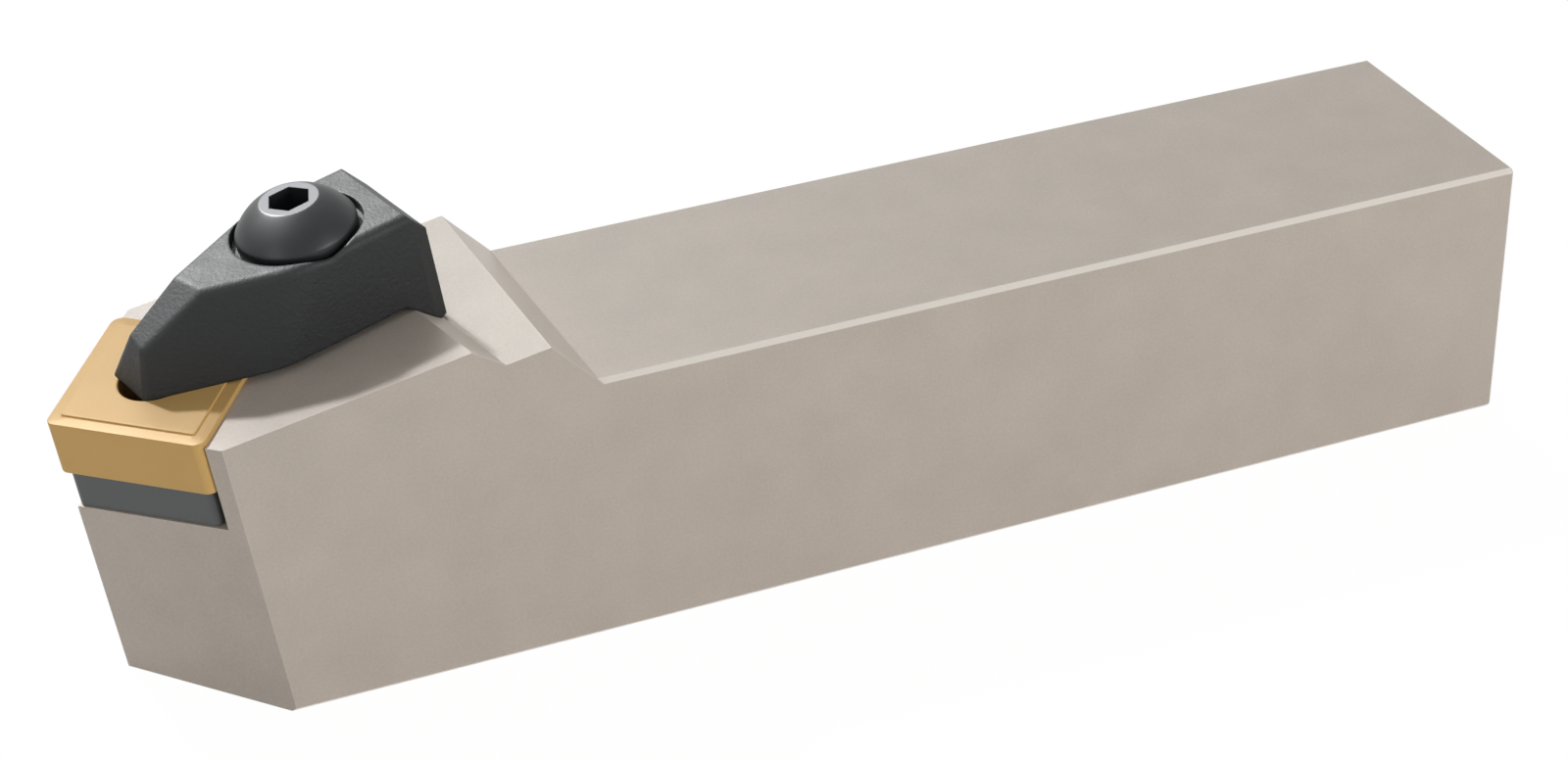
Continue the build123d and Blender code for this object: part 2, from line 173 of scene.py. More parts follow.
class ShimScrewSettings(bpy.types.PropertyGroup):
    head: length("Head", "Diameter of the countersunk head", 5.6)
    socket: length("Socket", "Across the flats of the hexagon socket", 2.0)
    thread: length("Thread", "Major diameter", 3.5)
    pitch: length("Pitch", "Rise of one turn", 0.6)
    steel: colour("Steel", "Bright screw steel", (0.30, 0.29, 0.28))
    bright_edge: colour("Bright edge", "Polished edge of the steel", (0.60, 0.58, 0.55))


class SpringSettings(bpy.types.PropertyGroup):
    outside: length("Outside", "Outside diameter of the coil", 7.6)
    wire: length("Wire", "Wire diameter", 0.7)
    turns: IntProperty(name="Turns", description="Turns, end turns among them", default=6, min=3)
    steel: colour("Steel", "Drawn spring wire", (0.22, 0.21, 0.20))
    bright_edge: colour("Bright edge", "Polished edge of the wire", (0.50, 0.48, 0.46))


class StageSettings(bpy.types.PropertyGroup):
    floor: colour("Floor", "Pale floor", (0.80, 0.80, 0.80))
    key: power("Key", "Small main lamp behind the nose", 1.1)
    back: power("Back", "Softbox behind the tool", 1.85)
    fill: power("Fill", "Low softbox beside the tool", 3.3)
    nose_fill: power("Nose fill", "Low softbox in front of the nose", 1.05)
    key_sheen: power("Key sheen", "Sheen of the main lamp", 11.0)
    left_sheen: power("Left sheen", "Sheen of a softbox over the nose", 2.2)
    nose_sheen: power("Nose sheen", "Sheen of a strip behind the nose", 0.5)
    ambient: FloatProperty(name="Ambient", description="Light that comes from all round",
                           default=0.265, min=0.0)


# ---------------------------------------------------------------- shader building


def place(tree, kind, **values):
    """A node with its own settings, named by keyword."""
    node = tree.nodes.new(kind)
    for key, value in values.items():
        setattr(node, key, value)
    return node


def feed(tree, socket, value):
    """Link an output, or set a plain value, on an input."""
    if isinstance(value, bpy.types.NodeSocket):
        tree.links.new(value, socket)
    else:
        socket.default_value = value


def maths(tree, operation, *values):
    node = place(tree, "ShaderNodeMath", operation=operation)
    for socket, value in zip(node.inputs, values):
        feed(tree, socket, value)
    return node.outputs[0]


def dot_product(tree, first, second):
    node = place(tree, "ShaderNodeVectorMath", operation="DOT_PRODUCT")
    feed(tree, node.inputs[0], first)
    feed(tree, node.inputs[1], second)
    return node.outputs["Value"]


def remap(tree, value, low, high, to_low=0.0, to_high=1.0):
    node = place(tree, "ShaderNodeMapRange")
    for key, entry in (("Value", value), ("From Min", low), ("From Max", high),
                       ("To Min", to_low), ("To Max", to_high)):
        feed(tree, node.inputs[key], entry)
    return node.outputs["Result"]


def blend_colour(tree, factor, first, second):
    node = place(tree, "ShaderNodeMix", data_type="RGBA")
    feed(tree, node.inputs["Factor"], factor)
    for socket, value in ((node.inputs[6], first), (node.inputs[7], second)):
        feed(tree, socket, value if isinstance(value, bpy.types.NodeSocket) else (*value, 1.0))
    return node.outputs[2]


def noise(tree, vector, scale, detail=2.0, roughness=0.5):
    node = place(tree, "ShaderNodeTexNoise")
    for key, value in (("Vector", vector), ("Scale", scale), ("Detail", detail), ("Roughness", roughness)):
        feed(tree, node.inputs[key], value)
    return node.outputs["Fac"]


def group_sockets(group, inputs, outputs):
    for name, kind, default in inputs:
        socket = group.interface.new_socket(name=name, in_out="INPUT", socket_type=kind)
        if default is not None:
            socket.default_value = default
    for name, kind in outputs:
        group.interface.new_socket(name=name, in_out="OUTPUT", socket_type=kind)


def fine_grain_group():
    """Surface grain: a close grain, slow mottling and their sum as a height."""
    found = bpy.data.node_groups.get(FINE_GRAIN)
    if found:
        return found
    group = bpy.data.node_groups.new(FINE_GRAIN, "ShaderNodeTree")
    group_sockets(group, [
        ("Grain Size", "NodeSocketFloat", 0.0002),
        ("Mottle Size", "NodeSocketFloat", 0.004),
    ], [("Grain", "NodeSocketFloat"), ("Mottle", "NodeSocketFloat"), ("Height", "NodeSocketFloat")])
    entry = place(group, "NodeGroupInput")
    out = place(group, "NodeGroupOutput")
    where = place(group, "ShaderNodeTexCoord").outputs["Object"]
    grain = noise(group, where, maths(group, "DIVIDE", 1.0, entry.outputs["Grain Size"]), 3.0, 0.6)
    mottle = noise(group, where, maths(group, "DIVIDE", 1.0, entry.outputs["Mottle Size"]), 4.0, 0.55)
    feed(group, out.inputs["Grain"], remap(group, grain, 0.3, 0.7))
    feed(group, out.inputs["Mottle"], remap(group, mottle, 0.3, 0.7))
    height = maths(group, "ADD", grain, maths(group, "MULTIPLY", mottle, 0.6))
    feed(group, out.inputs["Height"], height)
    return group


def edge_wear_and_sheen_group():
    """A mask that is 1 on the edges, broken up by grain: where handling polishes the finish, and on the
    holder also a painted edge highlight.
    """
    found = bpy.data.node_groups.get(EDGE_WEAR_AND_SHEEN)
    if found:
        return found
    group = bpy.data.node_groups.new(EDGE_WEAR_AND_SHEEN, "ShaderNodeTree")
    group_sockets(group, [
        ("Width", "NodeSocketFloat", 0.0002),
        ("Breakup", "NodeSocketFloat", 0.5),
        ("Strength", "NodeSocketFloat", 1.0),
    ], [("Mask", "NodeSocketFloat")])
    entry = place(group, "NodeGroupInput")
    out = place(group, "NodeGroupOutput")
    rounded = place(group, "ShaderNodeBevel", samples=6)
    feed(group, rounded.inputs["Radius"], entry.outputs["Width"])
    plain = place(group, "ShaderNodeNewGeometry").outputs["Normal"]
    agree = dot_product(group, rounded.outputs["Normal"], plain)
    edge = remap(group, agree, 0.995, 0.90)
    where = place(group, "ShaderNodeTexCoord").outputs["Object"]
    spots = remap(group, noise(group, where, 900.0, 4.0, 0.6), 0.35, 0.65)
    kept = maths(group, "SUBTRACT", 1.0, maths(group, "MULTIPLY", entry.outputs["Breakup"], spots))
    mask = maths(group, "MULTIPLY", maths(group, "MULTIPLY", edge, kept), entry.outputs["Strength"])
    feed(group, out.inputs["Mask"], mask)
    return group


def soft_edge_group():
    """The surface normal, rounded over across edges that a die leaves soft."""
    found = bpy.data.node_groups.get(SOFT_EDGE)
    if found:
        return found
    group = bpy.data.node_groups.new(SOFT_EDGE, "ShaderNodeTree")
    group_sockets(group, [("Width", "NodeSocketFloat", 0.001)], [("Normal", "NodeSocketVector")])
    entry = place(group, "NodeGroupInput")
    out = place(group, "NodeGroupOutput")
    rounded = place(group, "ShaderNodeBevel", samples=12)
    feed(group, rounded.inputs["Radius"], entry.outputs["Width"])
    feed(group, out.inputs["Normal"], rounded.outputs["Normal"])
    return group


def use_group(tree, group, **values):
    node = place(tree, "ShaderNodeGroup", node_tree=group)
    for key, value in values.items():
        feed(tree, node.inputs[key.replace("_", " ").title()], value)
    return node


class Finish:
    """One material: a Principled shader with grain, mottling, worn edges and painted highlights."""

    def __init__(self, name, colour, metallic, roughness, roughness_spread=0.06, specular=0.5):
        self.material = bpy.data.materials.new(name)
        self.material.use_nodes = True
        self.tree = self.material.node_tree
        self.shader = self.tree.nodes["Principled BSDF"]
        self.shader.inputs["Metallic"].default_value = metallic
        self.shader.inputs["Specular IOR Level"].default_value = specular
        self.colour = tuple(colour)
        self.roughness = roughness
        self.spread = roughness_spread

    def grained(self, grain_size, mottle_size, bump, colour_spread):
        """Grain in the colour, the roughness and the height."""
        grain = use_group(self.tree, fine_grain_group(), grain_size=grain_size, mottle_size=mottle_size)
        darker = tuple(c * (1 - colour_spread) for c in self.colour)
        lighter = tuple(min(1.0, c * (1 + colour_spread)) for c in self.colour)
        close = maths(self.tree, "MULTIPLY", grain.outputs["Grain"], GRAIN_SHARE)
        slow = maths(self.tree, "MULTIPLY", grain.outputs["Mottle"], 1.0 - GRAIN_SHARE)
        share = maths(self.tree, "ADD", close, slow)
        self.skin = blend_colour(self.tree, share, darker, lighter)
        rough = remap(self.tree, grain.outputs["Mottle"], 0.0, 1.0,
                      self.roughness - self.spread, self.roughness + self.spread)
        feed(self.tree, self.shader.inputs["Roughness"], rough)
        relief = place(self.tree, "ShaderNodeBump")
        relief.inputs["Strength"].default_value = 1.0
        relief.inputs["Distance"].default_value = bump
        feed(self.tree, relief.inputs["Height"], grain.outputs["Height"])
        feed(self.tree, self.shader.inputs["Normal"], relief.outputs["Normal"])
        self.relief = relief
        return self

    def soft_edges(self, width):
        """Shade the edges as a forging die leaves them. It follows grained()."""
        rounded = use_group(self.tree, soft_edge_group(), width=width)
        feed(self.tree, self.relief.inputs["Normal"], rounded.outputs["Normal"])
        return self

    def ground_and_sheen_bevels(self, colour):
        """Lighter colour on the bevels along the shank, which face half up or down and half sideways: ground
        metal, and a painted highlight for the light these faces catch.
        """
        facing = place(self.tree, "ShaderNodeSeparateXYZ")
        feed(self.tree, facing.inputs[0], place(self.tree, "ShaderNodeNewGeometry").outputs["True Normal"])
        both = maths(self.tree, "MULTIPLY", facing.outputs[1], facing.outputs[2])
        both = maths(self.tree, "ABSOLUTE", both)        # a half on a bevel at 45 degrees, 0 on a flat side
        self.skin = blend_colour(self.tree, remap(self.tree, both, 0.40, 0.48), self.skin, colour)
        return self

    def sheen_painted_face(self, axis, height, colour):
        """Painted sheen: a lighter colour on the faces square to axis that lie above height along it, for the
        reflection a smooth turned face shows.
        """
        normal = place(self.tree, "ShaderNodeNewGeometry").outputs["True Normal"]
        where = place(self.tree, "ShaderNodeTexCoord").outputs["Object"]
        square = remap(self.tree, dot_product(self.tree, normal, axis), 0.990, 0.998)
        above = remap(self.tree, dot_product(self.tree, where, axis), height, height + 0.1 * MM)
        mask = maths(self.tree, "MULTIPLY", square, above)
        self.skin = blend_colour(self.tree, mask, self.skin, colour)
        return self

    def worn(self, colour, width, strength, breakup=0.4):
        """Lighter edges, as wide as width, broken up by grain: wear, and on the holder also a painted
        highlight.
        """
        mask = use_group(self.tree, edge_wear_and_sheen_group(), width=width, strength=strength, breakup=breakup)
        self.skin = blend_colour(self.tree, mask.outputs["Mask"], self.skin, colour)
        return self

    def done(self):
        feed(self.tree, self.shader.inputs["Base Color"], self.skin)
        return self.material


# ---------------------------------------------------------------- mesh building


def rhombus_ring(side, inset, corner, height, arc_steps=8, side_steps=14):
    """One closed ring of the insert's outline, set in by inset, with rounded corners."""
    nose = side * math.sin(HALF_ACUTE) - inset / math.cos(HALF_ACUTE)
    wing = side * math.cos(HALF_ACUTE) - inset / math.sin(HALF_ACUTE)
    tips = [Vector((-nose, 0)), Vector((0, -wing)), Vector((nose, 0)), Vector((0, wing))]
    ring = []
    for index, tip in enumerate(tips):
        before = (tips[index - 1] - tip).normalized()
        after = (tips[(index + 1) % 4] - tip).normalized()
        half = before.angle(after) / 2
        centre = tip + (before + after).normalized() * corner / math.sin(half)
        start = tip + before * corner / math.tan(half) - centre
        sweep = math.pi - 2 * half
        for step in range(arc_steps + 1):
            angle = sweep * step / arc_steps
            turned = Matrix.Rotation(angle, 2) @ start
            ring.append(centre + turned)
        far = tips[(index + 1) % 4]
        far_half = (-after).angle((tips[(index + 2) % 4] - far).normalized()) / 2
        leave, arrive = ring[-1], far - after * corner / math.tan(far_half)
        ring += [leave.lerp(arrive, step / side_steps) for step in range(1, side_steps)]
    return [Vector((p.x, p.y, height)) for p in ring]


def circle_ring(radius, height, angles):
    return [Vector((radius * math.cos(a), radius * math.sin(a), height)) for a in angles]


def hexagon_ring(across_flats, height, angles):
    """A hexagon with a corner at angle 0."""
    sector = TURN / 6
    return [
        Vector((math.cos(a), math.sin(a), 0)) * (across_flats / 2 / math.cos((a % sector) - sector / 2))
        + Vector((0, 0, height))
        for a in angles
    ]


def even_angles(count):
    return [TURN * index / count for index in range(count)]


def skin_rings(name, rings, matrix, closed, sharp=32.0):
    """A closed skin over rings of equal count. An open run of rings is closed by a point at each end."""
    mesh = bmesh.new()
    rows = [[mesh.verts.new(p) for p in ring] for ring in rings]
    count = len(rows[0])
    pairs = list(zip(rows, rows[1:] + rows[:1])) if closed else list(zip(rows, rows[1:]))
    for low, high in pairs:
        for index in range(count):
            after = (index + 1) % count
            mesh.faces.new((low[index], low[after], high[after], high[index]))
    if not closed:
        for row, order in ((rows[0], -1), (rows[-1], 1)):
            middle = mesh.verts.new(sum((v.co for v in row), Vector()) / count)
            for index in range(count):
                corners = (row[index], row[(index + 1) % count], middle)
                mesh.faces.new(corners[::order])
    bmesh.ops.recalc_face_normals(mesh, faces=mesh.faces)
    made = bpy.data.meshes.new(name)
    mesh.to_mesh(made)
    mesh.free()
    made.transform(matrix)
    return settle(name, made, sharp)


def settle(name, mesh, sharp):
    """An object at the origin whose flat faces stay flat beside rounded edges."""
    mesh.shade_smooth()
    mesh.set_sharp_from_angle(angle=math.radians(sharp))
    piece = bpy.data.objects.new(name, mesh)
    bpy.context.scene.collection.objects.link(piece)
    weigh = piece.modifiers.new("Flat faces", "WEIGHTED_NORMAL")
    weigh.keep_sharp = True
    weigh.weight = 80
    return bake_modifiers(piece)


def bake_modifiers(piece):
    """Replace the mesh by what its modifiers make of it."""
    graph = bpy.context.evaluated_depsgraph_get()
    made = bpy.data.meshes.new_from_object(piece.evaluated_get(graph), depsgraph=graph,
                                           preserve_all_data_layers=True)
    piece.modifiers.clear()
    old = piece.data
    piece.data = made
    made.name = piece.name
    bpy.data.meshes.remove(old)
    return piece


def join_pieces(name, parts):
    """One mesh from several that move together."""
    with bpy.context.temp_override(active_object=parts[0], selected_editable_objects=parts,
                                   object=parts[0], selected_objects=parts):
        bpy.ops.object.join()
    parts[0].name = parts[0].data.name = name
    return parts[0]


def clothe(piece, material, body, node):
    """Give a new piece its finish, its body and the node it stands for."""
    piece.data.materials.clear()
    piece.data.materials.append(material)
    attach(piece, body)
    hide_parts(node)


def merged_copy(node, name):
    """The node's mesh as one welded skin with whole flat faces."""
    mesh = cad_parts[node].data.copy()
    mesh.name = name
    work = bmesh.new()
    work.from_mesh(mesh)
    bmesh.ops.remove_doubles(work, verts=work.verts, dist=0.002 * MM)
    bmesh.ops.dissolve_limit(work, angle_limit=math.radians(0.4), verts=work.verts, edges=work.edges)
    work.to_mesh(mesh)
    work.free()
    if mesh.attributes.get("custom_normal"):
        mesh.attributes.remove(mesh.attributes["custom_normal"])
    mesh.materials.clear()
    return mesh


# ---------------------------------------------------------------- geometry nodes


class Recipe:
    """A geometry node tree with named inputs."""

    def __init__(self, name, inputs):
        self.tree = bpy.data.node_groups.new(name, "GeometryNodeTree")
        for label, kind, default in inputs:
            socket = self.tree.interface.new_socket(name=label, in_out="INPUT", socket_type=kind)
            if default is not None:
                socket.default_value = default
        self.tree.interface.new_socket(name="Geometry", in_out="OUTPUT", socket_type="NodeSocketGeometry")
        self.entry = place(self.tree, "NodeGroupInput").outputs

    def node(self, kind, outlet, settings=None, **values):
        node = place(self.tree, kind, **(settings or {}))
        for key, value in values.items():
            feed(self.tree, node.inputs[key.replace("_", " ").title()], value)
        return node.outputs[outlet]

    def sum(self, operation, *values):
        return maths(self.tree, operation, *values)

    def clamped(self, value, low, high, to_low, to_high):
        return remap(self.tree, value, low, high, to_low, to_high)

    def finish(self, geometry):
        real = self.node("GeometryNodeRealizeInstances", "Geometry", geometry=geometry)
        dressed = self.node("GeometryNodeSetMaterial", "Geometry", geometry=real,
                            material=self.entry["Material"])
        feed(self.tree, place(self.tree, "NodeGroupOutput").inputs["Geometry"], dressed)
        return self.tree


def threaded_rod_tree():
    """A rod whose surface rises and falls once a pitch along a right-hand helix."""
    found = bpy.data.node_groups.get(THREADED_ROD)
    if found:
        return found
    recipe = Recipe(THREADED_ROD, [
        ("Major Radius", "NodeSocketFloat", 0.0025),
        ("Thread Depth", "NodeSocketFloat", 0.0004),
        ("Pitch", "NodeSocketFloat", 0.0008),
        ("Length", "NodeSocketFloat", 0.02),
        ("Plain Neck", "NodeSocketFloat", 0.002),
        ("Point", "NodeSocketFloat", 0.0008),
        ("Around", "NodeSocketInt", 48),
        ("Along", "NodeSocketInt", 200),
        ("Material", "NodeSocketMaterial", None),
    ])
    entry, calc = recipe.entry, recipe.sum
    rod = recipe.node("GeometryNodeMeshCylinder", "Mesh", {"fill_type": "TRIANGLE_FAN"},
                      vertices=entry["Around"], side_segments=entry["Along"],
                      radius=entry["Major Radius"], depth=entry["Length"])
    here = place(recipe.tree, "ShaderNodeSeparateXYZ")
    feed(recipe.tree, here.inputs[0], recipe.node("GeometryNodeInputPosition", "Position"))
    x, y, z = here.outputs
    turned = calc("DIVIDE", calc("ARCTAN2", y, x), TURN)
    phase = calc("FRACT", calc("SUBTRACT", calc("DIVIDE", z, entry["Pitch"]), turned))
    ridge = calc("ABSOLUTE", calc("SUBTRACT", calc("MULTIPLY", phase, 2.0), 1.0))
    flank = recipe.clamped(ridge, 0.12, 0.88, 0.0, 1.0)
    half = calc("MULTIPLY", entry["Length"], 0.5)
    neck_low = calc("SUBTRACT", half, entry["Plain Neck"])
    fade = recipe.clamped(z, calc("SUBTRACT", neck_low, entry["Pitch"]), neck_low, 1.0, 0.0)
    cut = calc("MULTIPLY", calc("MULTIPLY", flank, entry["Thread Depth"]), fade)
    ridged = calc("SUBTRACT", entry["Major Radius"], cut)
    from_point = calc("ADD", z, half)
    cone = calc("ADD", calc("SUBTRACT", entry["Major Radius"], entry["Point"]), from_point)
    radius = calc("MINIMUM", ridged, cone)
    share = calc("DIVIDE", radius, entry["Major Radius"])
    spread = place(recipe.tree, "ShaderNodeCombineXYZ")
    for socket, value in zip(spread.inputs, (calc("MULTIPLY", x, share), calc("MULTIPLY", y, share), z)):
        feed(recipe.tree, socket, value)
    cut_rod = recipe.node("GeometryNodeSetPosition", "Geometry", geometry=rod, position=spread.outputs[0])
    return recipe.finish(cut_rod)


def wound_spring_tree():
    """A compression spring whose end turns lie closed."""
    found = bpy.data.node_groups.get(WOUND_SPRING)
    if found:
        return found
    recipe = Recipe(WOUND_SPRING, [
        ("Coil Radius", "NodeSocketFloat", 0.00345),
        ("Wire Radius", "NodeSocketFloat", 0.00035),
        ("Rise", "NodeSocketFloat", 0.006),
        ("Turns", "NodeSocketFloat", 6.0),
        ("Steps A Turn", "NodeSocketInt", 40),
        ("Material", "NodeSocketMaterial", None),
    ])
    entry, calc = recipe.entry, recipe.sum
    line = recipe.node("GeometryNodeCurveSpiral", "Curve", resolution=entry["Steps A Turn"],
                       rotations=entry["Turns"], start_radius=entry["Coil Radius"],
                       end_radius=entry["Coil Radius"], height=entry["Rise"])
    along = recipe.node("GeometryNodeSplineParameter", "Factor")
    end_share = calc("DIVIDE", 1.0, entry["Turns"])
    end_rise = calc("MULTIPLY", entry["Wire Radius"], 2.0)
    first = recipe.clamped(along, 0.0, end_share, 0.0, end_rise)
    far = calc("SUBTRACT", 1.0, end_share)
    middle_rise = calc("SUBTRACT", entry["Rise"], calc("MULTIPLY", end_rise, 2.0))
    middle = recipe.clamped(along, end_share, far, 0.0, middle_rise)
    last = recipe.clamped(along, far, 1.0, 0.0, end_rise)
    height = calc("ADD", calc("ADD", first, middle), last)
    here = place(recipe.tree, "ShaderNodeSeparateXYZ")
    feed(recipe.tree, here.inputs[0], recipe.node("GeometryNodeInputPosition", "Position"))
    lifted = place(recipe.tree, "ShaderNodeCombineXYZ")
    for socket, value in zip(lifted.inputs, (here.outputs[0], here.outputs[1], height)):
        feed(recipe.tree, socket, value)
    line = recipe.node("GeometryNodeSetPosition", "Geometry", geometry=line, position=lifted.outputs[0])
    section = recipe.node("GeometryNodeCurvePrimitiveCircle", "Curve", resolution=14,
                          radius=entry["Wire Radius"])
    wire = recipe.node("GeometryNodeCurveToMesh", "Mesh", curve=line, profile_curve=section, fill_caps=True)
    return recipe.finish(wire)


def grow(name, tree, values, matrix, sharp=32.0):
    """The plain mesh that a geometry node tree makes with these inputs."""
    seed = bpy.data.objects.new(name, bpy.data.meshes.new(name))
    bpy.context.scene.collection.objects.link(seed)
    modifier = seed.modifiers.new(name, "NODES")
    modifier.node_group = tree
    sockets = {item.name: item.identifier for item in tree.interface.items_tree if item.in_out == "INPUT"}
    for label, value in values.items():
        modifier[sockets[label]] = value
    graph = bpy.context.evaluated_depsgraph_get()
    made = bpy.data.meshes.new_from_object(seed.evaluated_get(graph), depsgraph=graph)
    old = seed.data
    bpy.data.objects.remove(seed)
    bpy.data.meshes.remove(old)
    if not made.polygons:
        raise RuntimeError(f"{tree.name} made no faces")
    weld = bmesh.new()
    weld.from_mesh(made)
    bmesh.ops.remove_doubles(weld, verts=weld.verts, dist=0.0005 * MM)
    bmesh.ops.recalc_face_normals(weld, faces=weld.faces)
    weld.to_mesh(made)
    weld.free()
    made.transform(matrix)
    return settle(name, made, sharp)


# ---------------------------------------------------------------- the pieces


class HOLDER_OT_body(bpy.types.Operator):
    """Finish the holder: broken edges and satin plated steel"""
    bl_idname = "tool_holder.body"
    bl_label = "Holder Body"

    def execute(self, context):
        settings = context.scene.holder_settings
        piece = bpy.data.objects.new("holder_milled", merged_copy("holder_body", "holder_milled"))
        context.scene.collection.objects.link(piece)
        ease = piece.modifiers.new("Edge break", "BEVEL")
        ease.width = settings.edge_break
        ease.segments = 2
        ease.limit_method = "ANGLE"
        ease.angle_limit = math.radians(30)
        ease.use_clamp_overlap = True
        ease.harden_normals = False
        bake_modifiers(piece)
        mesh = piece.data.copy()
        bpy.data.objects.remove(piece)
        piece = settle("holder_milled", mesh, 50)
        finish = Finish("satin_plated_steel", settings.steel, metallic=0.05, roughness=0.40,
                        roughness_spread=0.03, specular=0.30)
        finish.grained(grain_size=0.26 * MM, mottle_size=5.0 * MM, bump=0.005 * MM, colour_spread=0.09)
        # Painted highlight: the bevels along the shank get a lighter colour for the light they catch.
        finish.ground_and_sheen_bevels(settings.bright_bevel)
        # Painted highlight with wear: the holder's edges get a lighter colour for the light they catch and
        # for polish.
        finish.worn(settings.bright_edge, width=0.12 * MM, strength=0.6)
        clothe(piece, finish.done(), "holder", "holder_body")
        return {"FINISHED"}


class HOLDER_OT_insert(bpy.types.Operator):
    """Build the coated insert with its honed edges, chip bands and hole"""
    bl_idname = "tool_holder.insert"
    bl_label = "Insert"

    def execute(self, context):
        s = context.scene.insert_settings
        edge = s.upper_edge
        face = edge + 0.25 * MM
        hole = s.hole / 2
        side = s.side
        outline = rhombus_ring(side, 0.0, s.corner, 0.0)
        angles = [math.atan2(p.y, p.x) for p in outline]
        # inset, corner radius and height over the cutting edge's plane, from mid side to the raised face
        profile = [
            (0.0, s.corner, -0.060 * MM),
            (0.012 * MM, s.corner, -0.022 * MM),
            (0.045 * MM, s.corner - 0.03 * MM, 0.002 * MM),
            (0.10 * MM, s.corner - 0.08 * MM, 0.010 * MM),
            (s.band - 0.10 * MM, 0.32 * MM, 0.085 * MM),
            (s.band - 0.03 * MM, 0.30 * MM, 0.075 * MM),
            (s.band, 0.30 * MM, 0.095 * MM),
            (s.band + 0.015 * MM, 0.30 * MM, 0.215 * MM),
            (s.band + 0.05 * MM, 0.30 * MM, 0.247 * MM),
            (s.band + 0.09 * MM, 0.30 * MM, 0.25 * MM),
            (s.band + 0.30 * MM, 0.30 * MM, 0.25 * MM),
        ]
        # radius and height of the rounded mouth of the hole
        hole_profile = [
            (hole + 0.60 * MM, face), (hole + 0.18 * MM, face), (hole + 0.13 * MM, face),
            (hole + 0.08 * MM, face - 0.02 * MM), (hole + 0.02 * MM, face - 0.07 * MM),
            (hole, face - 0.14 * MM),
        ]
        top = [rhombus_ring(side, inset, corner, edge + rise) for inset, corner, rise in profile]
        top += [circle_ring(radius, height, angles) for radius, height in hole_profile]
        middle = edge - s.height / 2
        bottom = [[Vector((p.x, p.y, 2 * middle - p.z)) for p in ring] for ring in reversed(top)]
        piece = skin_rings("insert_coated", top + bottom, deck_matrix(), True, CARBIDE_SHARP)
        finish = Finish("gold_coating", s.coating, metallic=0.03, roughness=0.44,
                        roughness_spread=0.03, specular=0.12)
        finish.grained(grain_size=0.12 * MM, mottle_size=3.0 * MM, bump=0.0016 * MM, colour_spread=0.04)
        finish.worn(s.honed_edge, width=0.12 * MM, strength=0.4, breakup=0.25)
        clothe(piece, finish.done(), "holder", "insert")
        return {"FINISHED"}


class HOLDER_OT_shim(bpy.types.Operator):
    """Build the countersunk carbide shim under the insert"""
    bl_idname = "tool_holder.shim"
    bl_label = "Shim"

    def execute(self, context):
        s = context.scene.shim_settings
        side = context.scene.insert_settings.side
        top, low = -4.70 * MM, -8.20 * MM
        outline = rhombus_ring(side, s.inset, s.corner, 0.0)
        angles = [math.atan2(p.y, p.x) for p in outline]
        ease = 0.02 * MM
        outer = [
            (s.inset + s.bevel, low), (s.inset + ease, low + s.bevel - ease), (s.inset, low + s.bevel + ease),
            (s.inset, top - s.bevel - ease), (s.inset + ease, top - s.bevel + ease), (s.inset + s.bevel, top),
        ]
        rings = [rhombus_ring(side, inset, s.corner, height) for inset, height in outer]
        # radius and height, in millimetres, of the countersink and the hole under it
        sink = [(2.85, -4.70), (2.85, -4.95), (1.80, -6.00), (2.00, -6.02), (2.00, -8.20)]
        rings += [circle_ring(radius * MM, height * MM, angles) for radius, height in sink]
        piece = skin_rings("shim_ground", rings, deck_matrix(), True, CARBIDE_SHARP)
        finish = Finish("ground_carbide", s.carbide, metallic=0.5, roughness=0.42)
        finish.grained(grain_size=0.10 * MM, mottle_size=2.0 * MM, bump=0.0012 * MM, colour_spread=0.10)
        finish.worn(s.bright_edge, width=0.10 * MM, strength=0.8)
        clothe(piece, finish.done(), "holder", "shim")
        return {"FINISHED"}


class HOLDER_OT_clamp(bpy.types.Operator):
    """Finish the forged finger clamp in black oxide, on the mesh that the frame carries"""
    bl_idname = "tool_holder.clamp"
    bl_label = "Finger Clamp"

    def execute(self, context):
        s = context.scene.clamp_settings
        finish = Finish("forged_black_oxide", s.oxide, metallic=0.0, roughness=0.58,
                        roughness_spread=0.05, specular=0.44)
        finish.grained(grain_size=0.32 * MM, mottle_size=1.8 * MM, bump=0.05 * MM, colour_spread=0.45)
        finish.soft_edges(width=0.3 * MM)
        finish.worn(s.rubbed, width=0.3 * MM, strength=0.4)
        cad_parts["clamp"].material_slots[0].material = finish.done()
        return {"FINISHED"}


